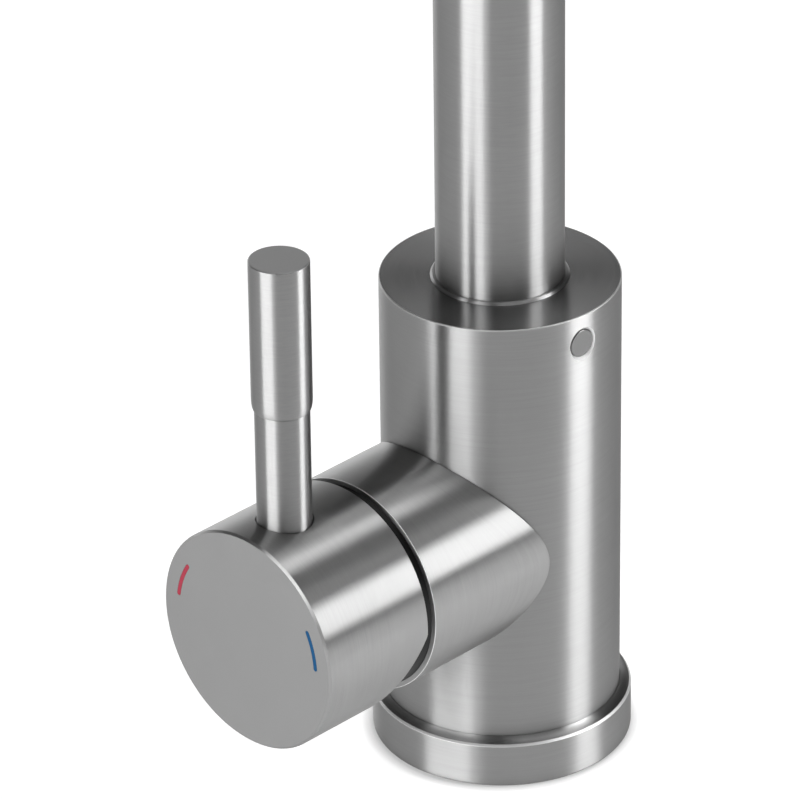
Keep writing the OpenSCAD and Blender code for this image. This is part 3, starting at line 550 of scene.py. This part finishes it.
def make_mark(name, angle, slot, look):
    """A coloured mark that fills its slot."""
    shell = Shell()
    out = Vector((1, 0, 0))
    top = level(shell, mark_outline(angle, MARK_W / 2, FACE_X), out)
    foot = level(shell, mark_outline(angle, MARK_W / 2, FACE_X - MARK_T), -out)
    shell.face(top)
    shell.strip(foot, top, flat=True)
    shell.face(foot[::-1])
    shell.piece(name, "handle", slot, [look], name)


def make_lever():
    grip_end = GRIP_START + GRIP_LEN
    thread_end = ROD_FOOT - THREAD_LEN
    lathed("lever_rod", "handle", "outer_steel", [turned], rounded([
        (0, thread_end, None), (THREAD_R, thread_end, CREASE), (THREAD_R, ROD_FOOT, CREASE),
        (ROD_R, ROD_FOOT, CREASE), (ROD_R, GRIP_START, CREASE), (SPIGOT_R, GRIP_START, CREASE),
        (SPIGOT_R, GRIP_START + SPIGOT_LEN, CREASE), (0, GRIP_START + SPIGOT_LEN, None),
    ], False), LEVER, SMALL_TURNS, False)
    bore_r, bore_end = SPIGOT_R + FIT, GRIP_START + SPIGOT_LEN + 6 * FIT
    quarter = [math.pi / 2 * i / SWELL_STEPS for i in range(SWELL_STEPS + 1)]
    swell = [
        (ROD_R + (GRIP_R - ROD_R) * math.sin(a), GRIP_START + GRIP_SWELL * (1 - math.cos(a)), None)
        for a in quarter
    ]
    lathed("lever_grip", "handle", "outer_steel", [turned, top_face], rounded([
        (0, bore_end, None), (bore_r, bore_end, CREASE), (bore_r, GRIP_START, CREASE), *swell,
        (GRIP_R, grip_end, GRIP_EDGE), (0, grip_end, None),
    ], False), LEVER, SMALL_TURNS, False, lambda r, h: int(h > grip_end - GRIP_EDGE / 2))


def spout_place(s):
    """The spout's cross section at a distance along its middle line."""
    bend = min(max((s - RISER) / BEND_R, 0.0), math.pi)
    straight = min(s, RISER) if bend < math.pi else 0.0
    if bend < math.pi:
        middle = Vector((0, BEND_R * (math.cos(bend) - 1), TUBE_FOOT + straight + BEND_R * math.sin(bend)))
    else:
        middle = Vector((0, -2 * BEND_R, BEND_H - (s - RISER - math.pi * BEND_R)))
    return Matrix.Translation(middle) @ Matrix.Rotation(bend, 4, "X")


def make_spout():
    length = RISER + math.pi * BEND_R + BEND_H - LEG_END
    walls = [RISER + BEND_R * math.pi * i / BEND_STEPS for i in range(BEND_STEPS + 1)]
    lathed("spout_tube", "spout", "outer_steel", [turned], rounded([
        (TUBE_IN_R, 0, CREASE), (TUBE_R, 0, CREASE), *((TUBE_R, s, None) for s in walls),
        (TUBE_R, length, CREASE), (TUBE_IN_R, length, CREASE),
        *((TUBE_IN_R, s, None) for s in reversed(walls)),
    ]), spout_place, SMALL_TURNS)
    washer_r = COLLAR_IN_R - WASHER_W / 2
    thread_r = TUBE_IN_R - FIT
    lathed("aerator_collar", "spout", "outer_steel", [turned], rounded([
        (washer_r, 0, CREASE), (TUBE_R, 0, 3 * CREASE), (TUBE_R, COLLAR_H, CREASE),
        (thread_r, COLLAR_H, CREASE), (thread_r, COLLAR_H + COLLAR_THREAD, CREASE),
        (COLLAR_IN_R, COLLAR_H + COLLAR_THREAD, CREASE),
        (COLLAR_IN_R, COLLAR_LIP, CREASE), (washer_r, COLLAR_LIP, CREASE),
    ]), OUTLET, SMALL_TURNS)
    bush_foot = BODY_H - BODY_TOP
    lathed("top_bush", "tap_body", "outer_steel", [turned], rounded([
        (BUSH_IN_R, bush_foot, CREASE), (BUSH_R, bush_foot, CREASE), (BUSH_R, BODY_H, CREASE / 3),
        (BUSH_TOP_R, BODY_H, CREASE / 3), (BUSH_TOP_R - BUSH_LIP, BODY_H + BUSH_LIP, CREASE),
        (BUSH_IN_R, BODY_H + BUSH_LIP, CREASE / 3),
    ]), UP, SMALL_TURNS)


def make_plug():
    face = BODY_R - PLUG_RECESS
    lathed("screw_plug", "tap_body", "dark_steel", [plug_look], rounded([
        (0, face - PLUG_T, None), (PLUG_R, face - PLUG_T, CREASE),
        (PLUG_R, face, 2 * CREASE), (0, face, None),
    ], False), PLUG, SMALL_TURNS, False)


class Tree:
    """A node tree in the making."""

    def __init__(self, tree):
        self.tree = tree
        tree.nodes.clear()

    def add(self, kind, settings=None, **inputs):
        """A new node. An input is named with _ for its spaces, and takes a value or another node's socket."""
        node = self.tree.nodes.new(kind)
        for name, value in (settings or {}).items():
            setattr(node, name, value)
        for name, value in inputs.items():
            key = int(name[1:]) if name[0] == "n" and name[1:].isdigit() else name.replace("_", " ")
            if isinstance(value, bpy.types.NodeSocket):
                self.tree.links.new(value, node.inputs[key])
            else:
                node.inputs[key].default_value = value
        return node

    def math(self, operation, *values):
        inputs = {f"n{i}": value for i, value in enumerate(values)}
        return self.add("ShaderNodeMath", {"operation": operation}, **inputs).outputs[0]

    def spread(self, value, low, high, start=0.0, end=1.0):
        """A value of start to end carried over to low to high."""
        return self.add(
            "ShaderNodeMapRange", Value=value, From_Min=start, From_Max=end, To_Min=low, To_Max=high
        ).outputs["Result"]

    def noise(self, vector, scale, detail=2.0, roughness=0.5):
        return self.add(
            "ShaderNodeTexNoise", Vector=vector, Scale=scale, Detail=detail, Roughness=roughness
        ).outputs["Fac"]


def new_look(name):
    made = bpy.data.materials.new(name)
    made.use_nodes = True
    return made, Tree(made.node_tree)


def shaded(tree, value, colour, spread):
    """The colour, lightened and darkened by a value of 0 to 1."""
    low, high = ([c * (1 + side * spread) for c in colour] + [1.0] for side in (-1, 1))
    return tree.add("ShaderNodeMix", {"data_type": "RGBA"}, Factor=value, n6=low, n7=high).outputs[2]


def close_look(tree, bump=None, tangent=None, **values):
    """Ends the tree in a shader with these values."""
    shader = tree.add("ShaderNodeBsdfPrincipled", **values)
    if bump is not None:
        tree.tree.links.new(bump.outputs[0], shader.inputs["Normal"])
    if tangent is not None:
        tree.tree.links.new(tangent.outputs[0], shader.inputs["Tangent"])
    tree.add("ShaderNodeOutputMaterial", Surface=shader.outputs[0])


def turned_steel(name, colour, roughness, stretch, depth, lines_spread):
    """Steel brushed round and round, with fine lines across the piece's axis."""
    made, tree = new_look(name)
    place = tree.add("ShaderNodeUVMap", {"uv_map": "turned"}).outputs[0]
    split = tree.add("ShaderNodeSeparateXYZ", Vector=place).outputs
    turn = tree.math("MULTIPLY", split[1], 2 * math.pi)
    mixed = 0.0
    for fine, wander, share in BRUSH_LINES:
        along = tree.math("MULTIPLY", split[0], fine)
        around = [tree.math("MULTIPLY", tree.math(way, turn), wander) for way in ("COSINE", "SINE")]
        vector = tree.add("ShaderNodeCombineXYZ", X=along, Y=around[0], Z=around[1]).outputs[0]
        mixed = tree.math("ADD", mixed, tree.math("MULTIPLY", tree.noise(vector, 1.0), share))
    spot = tree.add("ShaderNodeTexCoord").outputs["Object"]
    smudge = tree.spread(tree.noise(spot, SMUDGE_SCALE, 4.0, 0.6), -SMUDGE_ROUGH, SMUDGE_ROUGH)
    bump = tree.add("ShaderNodeBump", Height=mixed, Strength=depth, Distance=BUMP)
    rough = tree.math("ADD", tree.spread(mixed, roughness - LINE_ROUGH, roughness + LINE_ROUGH), smudge)
    tangent = tree.add("ShaderNodeTangent", {"direction_type": "UV_MAP", "uv_map": "turned"})
    shade = shaded(tree, mixed, colour, lines_spread)
    close_look(
        tree, bump, tangent, Base_Color=shade, Metallic=1.0, Roughness=rough, Anisotropic=stretch,
        Specular_Tint=(STEEL_TINT, STEEL_TINT, STEEL_TINT, 1),
    )
    return made


def grained(name, colour, roughness, metallic, scale, spread=0.06, bump_size=BUMP, **values):
    """A finish with fine even grain and faint larger patches."""
    made, tree = new_look(name)
    spot = tree.add("ShaderNodeTexCoord").outputs["Object"]
    grain, patches = tree.noise(spot, scale, 3.0), tree.noise(spot, scale / GRAINS_TO_PATCH, 3.0, 0.6)
    bump = tree.add("ShaderNodeBump", Height=grain, Strength=GRAIN_DEPTH, Distance=bump_size)
    low, high = roughness - GRAIN_ROUGH, roughness + GRAIN_ROUGH
    rough = tree.math("ADD", tree.spread(patches, low, high), tree.spread(grain, -GRAIN_ROUGH, GRAIN_ROUGH))
    mixed = tree.math("ADD", tree.math("MULTIPLY", grain, 0.5), tree.math("MULTIPLY", patches, 0.5))
    shade = shaded(tree, mixed, colour, spread)
    close_look(tree, bump, Base_Color=shade, Metallic=metallic, Roughness=rough, **values)
    return made


turned = turned_steel("turned_steel", (0.335, 0.335, 0.335), 0.37, 1.0, 0.22, 0.16)
top_look = turned_steel("top_steel", (0.36, 0.36, 0.36), 0.24, 0.9, 0.02, 0.08)
face_look = grained("knob_face", (0.285, 0.285, 0.285), 0.40, 1.0, 2600.0, 0.05)
top_face = grained("lever_top", (0.29, 0.29, 0.29), 0.42, 1.0, 2600.0, 0.05)
# Painted highlight: a pale colour on small edges and bevels that stands in for the light they catch
highlight_edge_look = grained("painted_highlight_edge", (0.70, 0.70, 0.70), 0.50, 1.0, 2600.0, 0.05)
# Painted highlight: a softer pale colour for the body's top edges, standing in for the light they catch
painted_soft_highlight = grained("painted_soft_highlight", (0.42, 0.42, 0.42), 0.50, 1.0, 2600.0, 0.05)
# Painted highlight: a near-white, half-metal colour on the plug's countersink for the bright light it
# reflects
countersunk = grained("countersink_painted_highlight", (0.78, 0.78, 0.78), 0.55, 0.55, 2600.0, 0.05)
# Painted shade: the dome is coloured near black to stand for the shade deep in the gap behind the knob
dome_shade_look = grained("dome_painted_shade", (0.035, 0.035, 0.035), 0.45, 1.0, 1800.0)
plug_look = grained("plug_steel", (0.14, 0.14, 0.14), 0.20, 1.0, 1800.0)
looks = {
    "valve_brass": grained("machined_brass", (0.62, 0.43, 0.17), 0.34, 1.0, 1400.0, 0.10),
    "plain_steel": grained("plain_steel", (0.46, 0.46, 0.47), 0.32, 1.0, 1400.0, 0.08),
    "cartridge_plastic": grained("moulded_plastic", (0.78, 0.78, 0.75), 0.45, 0.0, 900.0, 0.03),
    "disc_ceramic": grained("ground_ceramic", (0.80, 0.77, 0.70), 0.25, 0.0, 1200.0, 0.03, Coat_Weight=0.3),
    "black_rubber": grained("black_rubber", (0.028, 0.028, 0.030), 0.62, 0.0, 1100.0, 0.25, 0.00005),
}
red_look = grained("red_enamel", (0.33, 0.030, 0.055), 0.5, 0.0, 1500.0, 0.08, Specular_IOR_Level=0.2)
blue_look = grained("blue_enamel", (0.003, 0.070, 0.18), 0.5, 0.0, 1500.0, 0.08, Specular_IOR_Level=0.15)

for part in frame["record"]["subparts"]:
    if part["material_slot"] in looks:
        for place in frame["nodes"][part["node"]].material_slots:
            place.material = looks[part["material_slot"]]

make_base_ring()
make_body_shell()
make_branch_sleeve()
make_dome_cover()
make_knob()
make_mark("hot_mark", HOT_ANGLE, "red_mark", red_look)
make_mark("cold_mark", COLD_ANGLE, "blue_mark", blue_look)
make_lever()
make_spout()
make_plug()


def make_floor():
    """A pale floor that glows for the camera and in reflections alone, and keeps the object's shadow. Its
    glow is dimmed at the ring as a painted contact shadow and raised just outside as a painted pool of light.
    """
    mesh = bpy.data.meshes.new("floor")
    side = FLOOR_SIZE / 2
    corners = (-side, -side, 0), (side, -side, 0), (side, side, 0), (-side, side, 0)
    mesh.from_pydata(corners, [], [(0, 1, 2, 3)])
    floor = bpy.data.objects.new("floor", mesh)
    bpy.context.scene.collection.objects.link(floor)
    made, tree = new_look("white_floor_painted_shadow")
    path = tree.add("ShaderNodeLightPath").outputs
    shown = tree.math("ADD", path["Is Glossy Ray"], path["Is Transmission Ray"])
    seen = tree.math("MINIMUM", tree.math("ADD", path["Is Camera Ray"], shown), 1.0)
    spot = tree.add("ShaderNodeNewGeometry").outputs["Position"]
    away = tree.add("ShaderNodeVectorMath", {"operation": "LENGTH"}, n0=spot).outputs["Value"]
    # The glow's steps paint a contact shadow at the ring and a pool of light just outside it
    glow = FLOOR_GLOW_WITH_PAINTED_SHADOW[0]
    for start, end, before, after in zip(*FLOOR_REACH, FLOOR_GLOW_WITH_PAINTED_SHADOW, FLOOR_GLOW_WITH_PAINTED_SHADOW[1:]):
        step = tree.spread(away, 0.0, after - before, start * RING_R * MM, end * RING_R * MM)
        glow = tree.math("ADD", glow, step)
    close_look(
        tree, Base_Color=(FLOOR_SHADE, FLOOR_SHADE, FLOOR_SHADE, 1), Roughness=FLOOR_ROUGH,
        Emission_Color=(1, 1, 1, 1), Emission_Strength=tree.math("MULTIPLY", seen, glow)
    )
    mesh.materials.append(made)


def make_world():
    """A dim room with a backdrop behind the tap that is bright near the floor, and white to the camera."""
    world = bpy.data.worlds.new("room")
    bpy.context.scene.world = world
    world.use_nodes = True
    tree = Tree(world.node_tree)
    way = tree.add("ShaderNodeTexCoord").outputs["Generated"]
    height = tree.add("ShaderNodeSeparateXYZ", Vector=way).outputs[2]
    facing = tree.add("ShaderNodeVectorMath", {"operation": "DOT_PRODUCT"}, n0=way, n1=BACKDROP_WAY)
    near = tree.spread(height, 1.0, 0.0, 0.0, BACKDROP_TOP)
    aimed = tree.spread(facing.outputs["Value"], 0.0, 1.0, *BACKDROP_EDGE)
    glow = tree.math("MULTIPLY", tree.math("MULTIPLY", near, aimed), BACKDROP_GLOW)
    seen = tree.add("ShaderNodeLightPath").outputs["Is Camera Ray"]
    strength = tree.math("MAXIMUM", tree.math("ADD", glow, ROOM_GLOW), seen)
    sky = tree.add("ShaderNodeBackground", Color=(1, 1, 1, 1), Strength=strength)
    tree.add("ShaderNodeOutputWorld", Surface=sky.outputs[0])


def direction(turn, rise):
    """The way to a turn from +X and a rise, both in radians."""
    return Vector((math.cos(turn) * math.cos(rise), math.sin(turn) * math.cos(rise), math.sin(rise)))


def make_lamp(name, turn, rise, away, size, glow, lit=()):
    """A soft box whose glow is its brightness as seen from the tap.

    lit holds the only objects that it lights, if it doesn't light them all."""
    lamp = bpy.data.lights.new(name, "AREA")
    lamp.shape = "RECTANGLE"
    lamp.size, lamp.size_y = size
    lamp.energy = glow * math.pi * size[0] * size[1]
    made = bpy.data.objects.new(name, lamp)
    bpy.context.scene.collection.objects.link(made)
    way = direction(math.radians(turn), math.radians(rise))
    made.location = LAMP_CENTRE + away * way
    made.rotation_euler = way.to_track_quat("Z", "Y").to_euler()
    made.visible_camera = False
    if lit:
        made.light_linking.receiver_collection = bpy.data.collections.new(name + "_lit")
        for each in lit:
            made.light_linking.receiver_collection.objects.link(each)


def make_camera():
    turn, rise, roll = (math.radians(a) for a in CAMERA_ANGLES)
    back = direction(turn, rise)
    right = Vector((-math.sin(turn), math.cos(turn), 0))
    up = back.cross(right)
    right, up = right * math.cos(roll) + up * math.sin(roll), up * math.cos(roll) - right * math.sin(roll)
    place = Matrix((right, up, back)).transposed().to_4x4()
    place.translation = Vector(CAMERA_TARGET) * MM + back * CAMERA_AWAY
    camera = bpy.data.objects.new("camera", bpy.data.cameras.new("camera"))
    camera.data.lens, camera.data.sensor_width = CAMERA_LENS, CAMERA_SENSOR
    camera.data.clip_start, camera.data.clip_end = CAMERA_CLIP
    camera.matrix_world = place
    bpy.context.scene.collection.objects.link(camera)
    bpy.context.scene.camera = camera


make_floor()
make_world()
make_lamp("left_box", *LEFT_BOX)
make_lamp("left_edge", *LEFT_EDGE)
spout = [bpy.data.objects["fine_" + name] for name in ("spout_tube", "aerator_collar")]
others = [each for each in bpy.data.objects if each.type == "MESH" and each not in spout]
make_lamp("right_box", *RIGHT_BOX, others)
make_lamp("spout_box", *SPOUT_BOX, spout)
make_lamp("high_box", *HIGH_BOX)
make_lamp("top_box", *TOP_BOX)
make_camera()

bpy.context.scene.view_settings.view_transform = "Standard"
